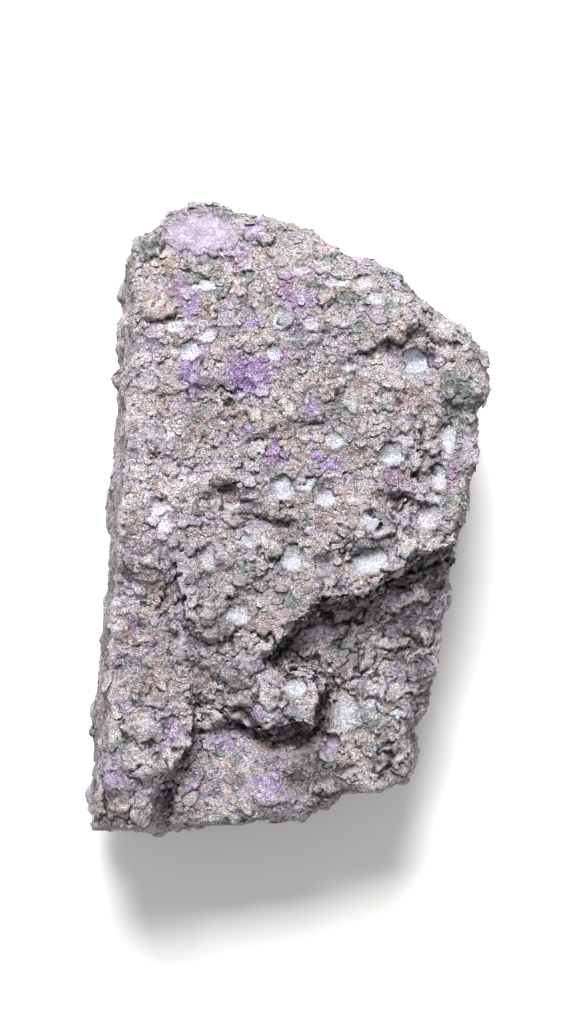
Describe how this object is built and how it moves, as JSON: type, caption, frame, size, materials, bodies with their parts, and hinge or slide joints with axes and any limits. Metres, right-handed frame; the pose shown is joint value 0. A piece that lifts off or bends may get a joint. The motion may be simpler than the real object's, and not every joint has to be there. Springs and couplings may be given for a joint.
{
  "type": "sugilite",
  "caption": "Rough hand-sized piece of massive sugilite rock: a thick slab with one flat side, a flat back and a pitted, stepped face with purple grains.",
  "frame": {"origin": "middle of the stone's box, on the flat back that it lies on", "axes": "+Z out of the pitted face, up from the surface it lies on; +Y along the stone towards its narrow lilac end; +X to the right when the pitted face is seen with the lilac end up"},
  "size_m": [0.0456, 0.072, 0.024],
  "materials": {
    "sugilite_rock": "matte"
  },
  "bodies": {
    "root": {"sugilite_stone": "sugilite_rock"}
  },
  "joints": []
}
